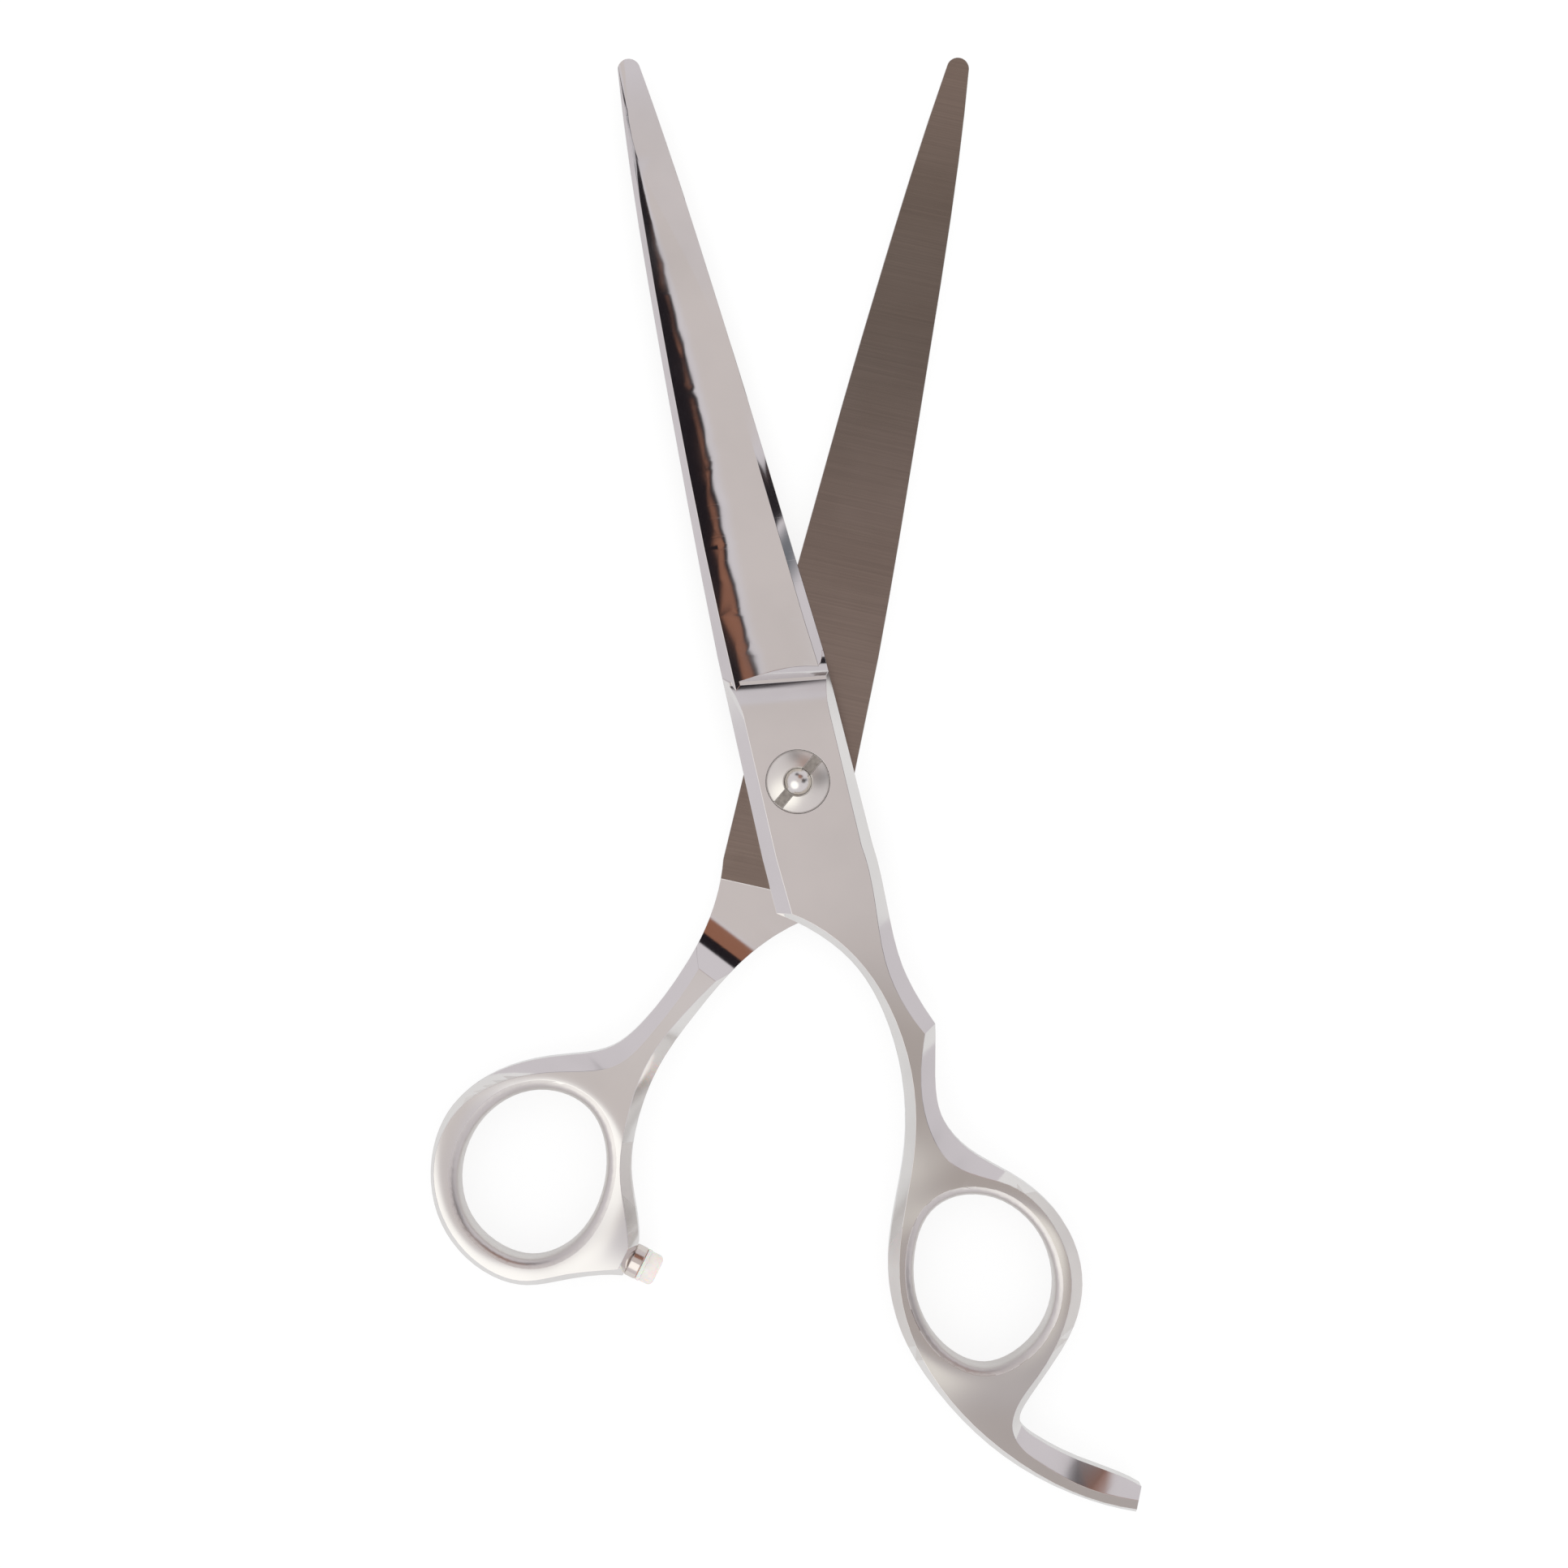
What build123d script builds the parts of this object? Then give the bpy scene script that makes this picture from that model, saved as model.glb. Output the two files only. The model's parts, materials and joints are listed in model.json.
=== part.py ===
from build123d import *
import math
import os

# Hair cutting shears of seven inches, with a finger rest, a tension nut and a bumper.
# Millimetres. The origin is on the pivot axis, level with the back face that the shears lie on.
# +Y points to the blade tips, +Z along the pivot axis to the nut. The shears are open, as at rest.
#
# Each half is drawn on its own plane: local +Y runs from the pivot to the tip, local +X to the
# cutting edge and the handle, and the normal points outwards, away from the other half.

os.makedirs("parts", exist_ok=True)

# --- Driving dimensions -------------------------------------------------------------------

# How far each half leans from the centre line at rest, degrees
finger_lean = 13.24
thumb_lean = 12.54

half_thickness = 3.3        # steel of one half at the pivot
blade_gap = 0.1             # between the two flat inner faces
blade_reach = 96.5          # pivot to tip
thumb_blade_set = -0.42     # how far the thumb blade is set over sideways at the pivot
set_fades = 0.6             # share of the reach over which that fades out
edge_land = 0.2             # flat left along a cutting edge
edge_overrun = 0.8          # how far the wheels run out past it
spine_strip_slope = 0.85    # fall of the narrow strip along the spine, per mm
hollow_share = 0.06         # depth of the hollow grinding, as a share of its width
hollow_bands = (0, 0.1, 0.2, 0.3, 0.4, 0.52, 0.68, 0.84, 1)     # its lengthwise bands

side_wall_rise = 1.7        # upright side wall of a handle, outwards of the inner face
side_wall_drop = 1.8        # and inwards of it
inner_relief = 0.4          # how far the shank is relieved behind the flat ride
heel_width = 14.0           # across the ricasso, a little over

shoulder_station = 13.0     # where the thick ricasso ends and the ground blade begins
shoulder_tilt = 9.0         # degrees off square
shoulder_wheel_radius = 5.0
shoulder_depth = 3.1        # how deep the wheel runs out below the outer face
roll_length = 4.2           # the buffed roll-off of the ricasso towards the shoulder
roll_drop = 0.9

ramp_angle = 24.5           # direction of the shank, degrees from the blade line
ramp_start = 17.4
ramp_end = 27.0
ride_station = 14.5         # where the flat ride ends on the inner face

shank_radius = 2.0
thread_radius = 1.75
running_clearance = 0.03
nut_radius = 4.05
nut_gap = 0.12              # between the nut and its counterbore
counterbore_depth = 1.7
nut_rise = 0.75             # crown of the dome above the outer face
nut_collar_clearance = 0.02
nut_slot_width = 1.35
nut_slot_depth = 0.95
nut_slot_angle = 50.0       # degrees, seen from the front
stud_rise = 1.05            # domed end of the bolt above the outer face
bolt_chamfer = 0.15
stud_dome_height = 0.9
stud_ring_gap = 0.17        # dark ring between the stud's end and the nut
stud_ring_depth = 0.5
sleeve_wall = 0.7
spring_washer_radius = 3.95
spring_washer_thickness = 0.25
spring_washer_height = 0.45
bolt_head_radius = 4.2
bolt_head_thickness = 1.3
bolt_key_rise = 0.6         # how far the round of the key stands out past the shank
bolt_flat_rise = 0.05       # and its two flats
seat_clearance = 0.05
bearing_washer_radius = 5.4
bearing_recess_depth = 0.5
bearing_clearance = 0.02

finger_hole_round = 1.1     # rounding of the two mouths of a finger hole
thumb_hole_round = 1.4

bumper_radius = 2.2
bumper_collar_length = 1.6
bumper_stud_radius = 1.2
bumper_stud_length = 4.0
bumper_spigot_length = 1.5
bumper_cap_length = 2.3
bumper_cap_flange = 0.5
bumper_cap_inset = 0.12
bumper_cap_round = 0.7

# Blade sections: share of the reach, spine, cutting edge, then the crest beside the spine and the
# ridge beside the edge bevel, each across and outwards
blade_sections = [
    # share   spine  edge   crest  rise   ridge  rise
    (0.08,  -6.50, 7.40, -5.10, 2.74, 6.20, 1.20),
    (0.17,  -6.48, 7.00, -5.10, 2.62, 5.85, 1.10),
    (0.31,  -6.00, 6.20, -4.95, 2.36, 5.05, 0.85),
    (0.47,  -5.30, 5.30, -4.45, 2.00, 4.15, 0.42),
    (0.62,  -4.50, 4.40, -3.80, 1.66, 3.15, 0.40),
    (0.73,  -3.80, 3.65, -3.20, 1.48, 1.20, 0.66),
    (0.83,  -3.05, 2.80, -2.55, 1.32, -1.20, 0.92),
    (0.92,  -2.35, 1.95, -1.95, 1.06, -1.70, 0.90),
    (1.03,  -1.40, 0.90, -1.20, 0.70, -1.00, 0.60),
]

# Plan of the blade: cutting edge and spine, as (across, share of the reach)
edge_line = [(7.12, 0.1646), (6.08, 0.341), (5.0, 0.524), (3.74, 0.708), (2.25, 0.893), (1.25, 0.9885)]
spine_line = [(-6.45, 0.1875), (-5.98, 0.325), (-5.15, 0.504), (-4.2, 0.683), (-2.95, 0.860), (-1.60, 0.9885)]
tip_middle = -0.12

# Plan of the ricasso: heel corner and the straight side above it, for the rim and for the flat top
finger_heel = (-6.6, -16.0)
finger_heel_side = (-6.77, -9.0)
finger_flat_heel = (-4.67, -16.5)
finger_flat_heel_side = (-5.0, -9.0)
thumb_heel = (-6.95, -16.0)
thumb_heel_side = (-7.18, -9.0)
thumb_flat_heel = (-5.0, -16.5)
thumb_flat_heel_side = (-5.4, -9.0)
flat_spine_inset = 1.55
flat_edge_inset = 1.12

# Plan of the finger handle's rim, and of its flat top, with as many points
finger_inner = [
    finger_heel, (-2.3, -19.5), (1.75, -24.8), (4.1, -32.5), (4.4, -40.5), (2.2, -50.5), (-1.3, -58.6),
    (-3.45, -67.0), (-3.1, -73.5), (-0.3, -81.5), (5.6, -90.8), (12.5, -97.3), (21.0, -102.15),
]
finger_outer = [
    (22.45, -99.1), (16.0, -94.4), (10.9, -90.2), (9.05, -87.1), (10.6, -84.9), (13.9, -81.9),
    (18.6, -77.0), (21.2, -70.8), (20.3, -63.0), (15.7, -56.3), (10.6, -51.4), (8.25, -46.5),
    (8.6, -41.2), (10.15, -34.6),
]
finger_knuckle = [(10.15, -34.6), (8.9, -31.2), (7.8, -26.8), (7.53, -20.0), (7.56, -10.0)]
finger_flat_inner = [
    finger_flat_heel, (-0.5, -20.2), (2.6, -24.8), (5.3, -33.5), (5.55, -41.5), (3.5, -50.5),
    (-0.1, -59.2), (-2.2, -67.2), (-1.9, -74.2), (0.6, -81.8), (6.3, -90.6), (12.9, -97.0), (21.1, -101.6),
]
finger_flat_outer = [
    (21.6, -100.5), (15.8, -97.6), (10.4, -92.9), (7.8, -88.2), (9.0, -85.3), (12.3, -82.2),
    (17.0, -77.0), (19.65, -71.0), (19.1, -63.6), (14.9, -57.2), (8.3, -52.9), (6.2, -47.0),
    (6.7, -41.0), (8.55, -35.5),
]
finger_flat_knuckle = [(8.55, -35.5), (6.9, -31.7), (5.75, -26.4), (5.95, -19.5), (6.1, -10.0)]

# Plan of the thumb handle's rim, and of its flat top
thumb_inner = [
    thumb_heel, (-2.2, -19.5), (2.4, -24.9), (6.4, -32.2), (9.4, -39.4), (10.75, -47.5), (10.0, -54.7),
    (8.1, -59.6), (7.18, -63.04),
]
thumb_outer = [
    (8.27, -67.4), (11.5, -68.1), (15.5, -69.6), (20.5, -71.4), (27.0, -70.4), (32.8, -65.8),
    (35.7, -58.4), (34.7, -50.9), (30.0, -45.2), (22.5, -41.4), (16.05, -38.7), (12.9, -34.8),
    (9.95, -28.7), (7.72, -21.7), (7.3, -12.0),
]
thumb_flat_inner = [
    thumb_flat_heel, (-0.8, -20.2), (3.6, -25.8), (7.8, -32.4), (10.9, -39.0), (12.1, -46.9), (11.3, -55.0),
    (9.4, -60.2), (8.3, -63.6),
]
thumb_flat_outer = [
    (9.0, -66.6), (11.7, -67.4), (15.7, -68.8), (20.6, -70.7), (26.8, -69.7), (32.3, -65.3),
    (35.2, -58.4), (33.9, -51.3), (29.0, -46.2), (21.9, -43.3), (14.9, -40.8), (11.6, -36.2),
    (8.6, -29.9), (6.2, -22.3), (5.9, -12.0),
]

# Plan of the two holes, rounder at one end
finger_hole = [
    (9.0, -57.05), (14.9, -60.4), (17.65, -67.4), (16.25, -73.9), (11.45, -78.4), (6.3, -79.25),
    (1.7, -75.7), (-0.3, -69.5), (0.75, -62.85), (4.0, -58.15),
]
thumb_hole = [
    (22.0, -45.95), (27.1, -47.7), (30.95, -52.75), (31.8, -58.2), (29.75, -63.8), (25.6, -66.95),
    (20.35, -67.6), (15.95, -64.85), (13.4, -58.85), (13.85, -52.15), (16.9, -47.5),
]

# --- Levels and planes worked out from the dimensions ---------------------------------------

thumb_inner_level = half_thickness
finger_inner_level = half_thickness + blade_gap
outer_level = finger_inner_level + half_thickness
inner_reach = half_thickness + blade_gap    # how far a handle runs past its own inner face
nut_seat_level = outer_level - counterbore_depth
nut_bottom_level = nut_seat_level + spring_washer_height + nut_collar_clearance
sleeve_radius = shank_radius + running_clearance + sleeve_wall
bolt_key_radius = shank_radius + bolt_key_rise
bolt_key_half_width = shank_radius + bolt_flat_rise
nut_bore_radius = thread_radius + running_clearance


def half_plane(lean, level, outward):
    """Plane of a half's inner face. outward is +1 for the front half and -1 for the back half."""
    angle = math.radians(lean)
    edge_direction = (outward * math.cos(angle), math.sin(angle), 0)
    return Plane(origin=(0, 0, level), x_dir=edge_direction, z_dir=(0, 0, outward))


finger_plane = half_plane(finger_lean, finger_inner_level, 1)
thumb_plane = half_plane(thumb_lean, thumb_inner_level, -1)


def across(plane, station, sideways):
    """Plane square to a blade: local X across it, local Y outwards from its inner face."""
    origin = plane.from_local_coords(Vector(sideways, station, 0))
    return Plane(origin=origin, x_dir=plane.x_dir, z_dir=-plane.y_dir)


def lengthwise(plane):
    """Plane along a blade: local X towards its tip, local Y outwards from its inner face."""
    return Plane(origin=plane.origin, x_dir=plane.y_dir, z_dir=plane.x_dir)


def turned(plane, degrees):
    """The same plane with its axes turned about its normal, from local X towards local Y."""
    angle = math.radians(degrees)
    x_dir = plane.x_dir * math.cos(angle) + plane.y_dir * math.sin(angle)
    return Plane(origin=plane.origin, x_dir=x_dir, z_dir=plane.z_dir)


def between(start, end, share):
    """A point on the straight line from start to end."""
    return (start[0] + share * (end[0] - start[0]), start[1] + share * (end[1] - start[1]))


def set_over(share, blade_set):
    """How far a blade stands sideways at a share of its reach, when it is set over at the pivot."""
    return blade_set * max(0, 1 - share / set_fades)


def blade_outline(blade_set):
    """Cutting edge and spine of a blade, from the ricasso to the tip."""
    return [[(x + set_over(share, blade_set), share * blade_reach) for x, share in line]
            for line in (edge_line, spine_line)]


# --- Blade --------------------------------------------------------------------------------

def grinding_waste(plane, blade_set):
    """The steel that the grinding wheels take off the outside of a blade: above the strip along
    the spine, the hollow face and the edge bevel."""
    side = 14.0
    top = 3 * half_thickness
    with BuildPart() as waste:
        for share, spine, edge, crest, crest_rise, ridge, ridge_rise in blade_sections:
            strip_out = (-side, crest_rise - spine_strip_slope * (side + crest))
            bevel_fall = (ridge_rise - edge_land) / (edge - ridge)
            past_edge = edge + edge_overrun
            bevel_out = (past_edge, edge_land - bevel_fall * edge_overrun)
            chord_middle = ((crest + ridge) / 2, (crest_rise + ridge_rise) / 2)
            hollow = (chord_middle[0], chord_middle[1] - hollow_share * (ridge - crest))
            with BuildSketch(across(plane, share * blade_reach, set_over(share, blade_set))):
                with BuildLine():
                    ground = ThreePointArc((crest, crest_rise), hollow, (ridge, ridge_rise),
                                           mode=Mode.PRIVATE)
                    Polyline((-side, top), strip_out, (crest, crest_rise))
                    for start, end in zip(hollow_bands, hollow_bands[1:]):
                        ThreePointArc(ground @ start, ground @ ((start + end) / 2), ground @ end)
                    Polyline((ridge, ridge_rise), bevel_out, (past_edge, top), (-side, top))
                make_face()
        loft()
    return waste.part


def ground_blade(plane, blade_set, edge_side, spine_side):
    """One blade from the shoulder to the tip, with its root inside the ricasso, whose two sides
    run on to edge_side and spine_side."""
    edge, spine = blade_outline(blade_set)
    root_edge = between(edge[0], edge_side, 0.15)
    root_spine = between(spine[0], spine_side, 0.18)
    with BuildPart() as blade:
        with BuildSketch(plane):
            with BuildLine():
                Line(root_edge, edge[0])
                Spline(*edge)
                ThreePointArc(edge[-1], (tip_middle, blade_reach), spine[-1])
                Spline(*reversed(spine))
                Polyline(spine[0], root_spine, root_edge)
            make_face()
        extrude(amount=half_thickness)
        add(grinding_waste(plane, blade_set), mode=Mode.SUBTRACT)
    return blade.part


# --- Handle -------------------------------------------------------------------------------

def handle_plan(plane, curves, front):
    """Closed plan of a handle and its ricasso on a plane. curves are the inner curve, the outer
    ones and the heel's side point; front is the edge and spine corner of the ricasso."""
    inner, outer_curves, heel_side = curves
    with BuildSketch(plane) as plan:
        with BuildLine():
            Spline(*inner)
            Line(inner[-1], outer_curves[0][0])
            for curve in outer_curves:
                Spline(*curve)
            Polyline(outer_curves[-1][-1], *front, heel_side, inner[0])
        make_face()
    return plan.sketch


def handle_blank(plane, rim, flat, blade_set):
    """The forged handle: an upright side wall, with bevels up to a narrow flat on both faces."""
    (edge_start, *_), (spine_start, *_) = blade_outline(blade_set)
    width = edge_start[0] - spine_start[0]
    rim_front = (edge_start, spine_start)
    flat_front = (between(edge_start, spine_start, flat_edge_inset / width),
                  between(spine_start, edge_start, flat_spine_inset / width))
    with BuildPart() as blank:
        extrude(handle_plan(plane.offset(-side_wall_drop), rim, rim_front),
                amount=side_wall_drop + side_wall_rise)
        for wall_end, flat_end in ((side_wall_rise, half_thickness), (-side_wall_drop, -inner_reach)):
            loft([handle_plan(plane.offset(wall_end), rim, rim_front),
                  handle_plan(plane.offset(flat_end), flat, flat_front)], ruled=True)
    return blank.part


def shoulder_wheel(plane):
    """The round run-out that the grinding wheel leaves in front of the ricasso."""
    rise = shoulder_wheel_radius - shoulder_depth
    reach = math.sqrt(shoulder_wheel_radius ** 2 - rise ** 2)
    with BuildPart() as wheel:
        with BuildSketch(lengthwise(turned(plane, -shoulder_tilt))):
            with Locations((shoulder_station + reach, half_thickness + rise)):
                Circle(shoulder_wheel_radius)
        extrude(amount=heel_width, both=True)
    return wheel.part


def shoulder_roll(plane):
    """What buffing takes off the front of the ricasso, so that its face rolls off to the shoulder."""
    radius = (roll_length ** 2 + roll_drop ** 2) / (2 * roll_drop)
    start = (shoulder_station - roll_length, half_thickness)
    half_angle = math.asin(roll_length / radius) / 2
    middle = (start[0] + radius * math.sin(half_angle),
              half_thickness - radius * (1 - math.cos(half_angle)))
    end = (shoulder_station, half_thickness - roll_drop)
    with BuildPart() as roll:
        with BuildSketch(lengthwise(turned(plane, -shoulder_tilt))):
            with BuildLine():
                ThreePointArc(start, middle, end)
                Polyline(end, (end[0] + shoulder_wheel_radius, end[1]),
                         (end[0] + shoulder_wheel_radius, 2 * half_thickness),
                         (start[0], 2 * half_thickness), start)
            make_face()
        extrude(amount=heel_width, both=True)
    return roll.part


def inner_waste(plane):
    """Everything inwards of a half's inner face, down to the ramp where the shank thickens, and
    the shallow relief behind the ride."""
    rise = inner_reach + inner_relief
    run = ramp_end - ramp_start
    radius = (run ** 2 + rise ** 2) / (2 * rise)
    centre_height = inner_relief - radius
    level_run = math.sqrt(radius ** 2 - centre_height ** 2)
    middle = math.asin(run / radius) / 2
    ramp_middle = (-ramp_start - radius * math.sin(middle), centre_height + radius * math.cos(middle))
    foot = (-ramp_start, inner_relief)
    level = (-ramp_start - level_run, 0)
    crest = (-ramp_end, -inner_reach)
    below = -2 * inner_reach
    shank_plane = lengthwise(turned(plane, ramp_angle))
    with BuildPart() as waste:
        with BuildSketch(shank_plane):
            with BuildLine():
                Polyline((-ride_station / 2, inner_relief), foot)
                ThreePointArc(foot, ramp_middle, crest)
                Polyline(crest, (-ramp_end, below), (-ride_station / 2, below),
                         (-ride_station / 2, inner_relief))
            make_face()
        extrude(amount=3 * heel_width, both=True)
        with BuildSketch(plane):
            with Locations((0, -ride_station)):
                Rectangle(6 * heel_width, ramp_end, align=(Align.CENTER, Align.MIN))
        extrude(amount=inner_relief, mode=Mode.SUBTRACT)
        with BuildSketch(shank_plane):
            with BuildLine():
                Polyline((2 * heel_width, 0), level, (level[0], below), (2 * heel_width, below),
                         (2 * heel_width, 0))
            make_face()
        extrude(amount=3 * heel_width, both=True)
    return waste.part


def finger_hole_tool(plane, hole, mouth_round):
    """What is bored out of a ring: a hole whose two mouths are rounded over."""
    middle = sum((Vector(*point) for point in hole), Vector()) / len(hole)
    mouth_radius = max((Vector(*point) - middle).length for point in hole) + 2 * mouth_round
    with BuildPart() as tool:
        with BuildSketch(plane.offset(-inner_reach)):
            with BuildLine():
                Spline(*hole, periodic=True)
            make_face()
        extrude(amount=inner_reach + half_thickness)
        for face_level, away in ((half_thickness, 1), (-inner_reach, -1)):
            with BuildSketch(plane.offset(face_level)):
                with Locations((middle.X, middle.Y)):
                    Circle(mouth_radius)
            extrude(amount=away * half_thickness)
        fillet(tool.edges().filter_by(GeomType.BSPLINE), mouth_round)
    return tool.part


def forged_half(plane, rim, flat, hole, mouth_round, blade_set):
    """One half in one piece of steel: handle with its finger hole, ricasso and ground blade."""
    edge_side = rim[1][-1][-1]
    spine_side = rim[2]
    with BuildPart() as half:
        add(handle_blank(plane, rim, flat, blade_set))
        add(shoulder_wheel(plane), mode=Mode.SUBTRACT)
        add(shoulder_roll(plane), mode=Mode.SUBTRACT)
        add(inner_waste(plane), mode=Mode.SUBTRACT)
        add(finger_hole_tool(plane, hole, mouth_round), mode=Mode.SUBTRACT)
        add(ground_blade(plane, blade_set, edge_side, spine_side))
    return half.part


# --- The two halves ---------------------------------------------------------------------------

finger_rim = (finger_inner, [finger_outer, finger_knuckle], finger_heel_side)
finger_flat = (finger_flat_inner, [finger_flat_outer, finger_flat_knuckle], finger_flat_heel_side)
thumb_rim = (thumb_inner, [thumb_outer], thumb_heel_side)
thumb_flat = (thumb_flat_inner, [thumb_flat_outer], thumb_flat_heel_side)

# The finger half lies in front. Its counterbore takes the nut and the spring washer, and the hole
# under it holds the pivot sleeve.
with BuildPart() as finger_blade:
    add(forged_half(finger_plane, finger_rim, finger_flat, finger_hole, finger_hole_round, 0))
    with BuildSketch(Plane.XY.offset(outer_level)):
        Circle(nut_radius + nut_gap)
    extrude(amount=-counterbore_depth, mode=Mode.SUBTRACT)
    with BuildSketch(Plane.XY.offset(finger_inner_level)):
        Circle(sleeve_radius)
    extrude(amount=half_thickness, mode=Mode.SUBTRACT)
finger_blade.part.label = "finger_blade"
export_step(finger_blade.part, "parts/finger_blade.step")

# The thumb half lies behind. The bolt's head is let into its back, the keyed part of the bolt
# keeps the bolt from turning in it, and the bearing washer lies in a recess of its inner face.
bumper_base_middle = between(thumb_inner[-1], thumb_outer[0], 0.5)
bumper_face_run = (thumb_outer[0][0] - thumb_inner[-1][0], thumb_outer[0][1] - thumb_inner[-1][1])
bumper_outward = Vector(bumper_face_run[1], -bumper_face_run[0], 0).normalized()
bumper_mid_depth = -blade_gap / 2
bumper_origin = thumb_plane.from_local_coords(
    Vector(bumper_base_middle[0], bumper_base_middle[1], bumper_mid_depth))
bumper_direction = thumb_plane.from_local_coords(bumper_outward) - thumb_plane.origin
bumper_plane = Plane(origin=bumper_origin, x_dir=(0, 0, 1), z_dir=bumper_direction)


def key_section(plane, clearance):
    """Round with two flats, where the bolt is kept from turning."""
    with BuildSketch(plane) as section:
        Circle(bolt_key_radius + clearance)
        Rectangle(2 * (bolt_key_half_width + clearance), 4 * bolt_key_radius, mode=Mode.INTERSECT)
    return section.sketch


with BuildPart() as thumb_blade:
    add(forged_half(thumb_plane, thumb_rim, thumb_flat, thumb_hole, thumb_hole_round,
                    thumb_blade_set))
    with BuildSketch(Plane.XY):
        Circle(bolt_head_radius + seat_clearance)
    extrude(amount=bolt_head_thickness + seat_clearance, mode=Mode.SUBTRACT)
    extrude(key_section(Plane.XY, seat_clearance), amount=half_thickness, mode=Mode.SUBTRACT)
    with BuildSketch(Plane.XY.offset(thumb_inner_level)):
        Circle(bearing_washer_radius + seat_clearance)
    extrude(amount=-bearing_recess_depth, mode=Mode.SUBTRACT)
    with BuildSketch(bumper_plane):
        Circle(bumper_stud_radius + running_clearance)
    extrude(amount=-(bumper_stud_length + seat_clearance), mode=Mode.SUBTRACT)
thumb_blade.part.label = "thumb_blade"
export_step(thumb_blade.part, "parts/thumb_blade.step")

# --- Pivot ------------------------------------------------------------------------------------

# The bolt: flush head at the back, keyed shoulder, plain shank in the sleeve, threaded end (drawn
# plain) through the nut, and a domed tip.
stud_top = outer_level + stud_rise
with BuildPart() as pivot_bolt:
    with BuildSketch(Plane.XY):
        Circle(bolt_head_radius)
    extrude(amount=bolt_head_thickness)
    chamfer(pivot_bolt.edges().group_by(Axis.Z)[0], bolt_chamfer)
    extrude(key_section(Plane.XY.offset(bolt_head_thickness), 0),
            amount=thumb_inner_level - bearing_recess_depth - bolt_head_thickness)
    with BuildSketch(Plane.XY.offset(thumb_inner_level - bearing_recess_depth)):
        Circle(shank_radius)
    extrude(amount=nut_seat_level - thumb_inner_level + bearing_recess_depth)
    with BuildSketch(Plane.XY.offset(nut_seat_level)):
        Circle(thread_radius)
    extrude(amount=stud_top - stud_dome_height - nut_seat_level)
    with BuildSketch(Plane.XZ):
        dome_start = (thread_radius, stud_top - stud_dome_height)
        dome_radius = (thread_radius ** 2 + stud_dome_height ** 2) / (2 * stud_dome_height)
        half_angle = math.asin(thread_radius / dome_radius) / 2
        dome_middle = (dome_radius * math.sin(half_angle),
                       stud_top - dome_radius * (1 - math.cos(half_angle)))
        with BuildLine():
            ThreePointArc(dome_start, dome_middle, (0, stud_top))
            Polyline((0, stud_top), (0, dome_start[1]), dome_start)
        make_face()
    revolve(axis=Axis.Z)
pivot_bolt.part.label = "pivot_bolt"
export_step(pivot_bolt.part, "parts/pivot_bolt.step")

# Bush between the bolt and the finger half
with BuildPart() as pivot_sleeve:
    with BuildSketch(Plane.XY.offset(finger_inner_level)):
        Circle(sleeve_radius)
        Circle(shank_radius + running_clearance, mode=Mode.SUBTRACT)
    extrude(amount=half_thickness - counterbore_depth)
pivot_sleeve.part.label = "pivot_sleeve"
export_step(pivot_sleeve.part, "parts/pivot_sleeve.step")

# Thin bearing washer that keeps the two inner faces apart at the pivot
with BuildPart() as bearing_washer:
    with BuildSketch(Plane.XY.offset(thumb_inner_level - bearing_recess_depth)):
        Circle(bearing_washer_radius)
        Circle(shank_radius + running_clearance, mode=Mode.SUBTRACT)
    extrude(amount=bearing_recess_depth + blade_gap - bearing_clearance)
bearing_washer.part.label = "bearing_washer"
export_step(bearing_washer.part, "parts/bearing_washer.step")

# Dished spring washer under the nut
with BuildPart() as spring_washer:
    inside = thread_radius + 3 * running_clearance
    top_inside = nut_seat_level + spring_washer_height
    top_outside = nut_seat_level + spring_washer_thickness
    with BuildSketch(Plane.XZ):
        with BuildLine():
            Polyline((spring_washer_radius, nut_seat_level), (spring_washer_radius, top_outside),
                     (inside, top_inside), (inside, top_inside - spring_washer_thickness),
                     (spring_washer_radius, nut_seat_level))
        make_face()
    revolve(axis=Axis.Z)
spring_washer.part.label = "spring_washer"
export_step(spring_washer.part, "parts/spring_washer.step")

# Domed tension nut, turned by a two-pronged key in its slots
nut_top = outer_level + nut_rise
nut_rim_level = outer_level - 0.15
with BuildPart() as tension_nut:
    with BuildSketch(Plane.XZ):
        crown = (thread_radius + stud_ring_gap, nut_top)
        dome_middle = (0.62 * nut_radius, nut_rim_level + 0.80 * (nut_top - nut_rim_level))
        with BuildLine():
            Polyline(crown, (crown[0], nut_top - stud_ring_depth),
                     (nut_bore_radius, nut_top - stud_ring_depth), (nut_bore_radius, nut_bottom_level),
                     (nut_radius, nut_bottom_level), (nut_radius, nut_rim_level))
            ThreePointArc((nut_radius, nut_rim_level), dome_middle, crown)
        make_face()
    revolve(axis=Axis.Z)
    with BuildSketch(turned(Plane.XY, nut_slot_angle).offset(nut_top - nut_slot_depth)):
        Rectangle(3 * nut_radius, nut_slot_width)
    extrude(amount=nut_slot_depth, mode=Mode.SUBTRACT)
tension_nut.part.label = "tension_nut"
export_step(tension_nut.part, "parts/tension_nut.step")

# --- Bumper -----------------------------------------------------------------------------------

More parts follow.
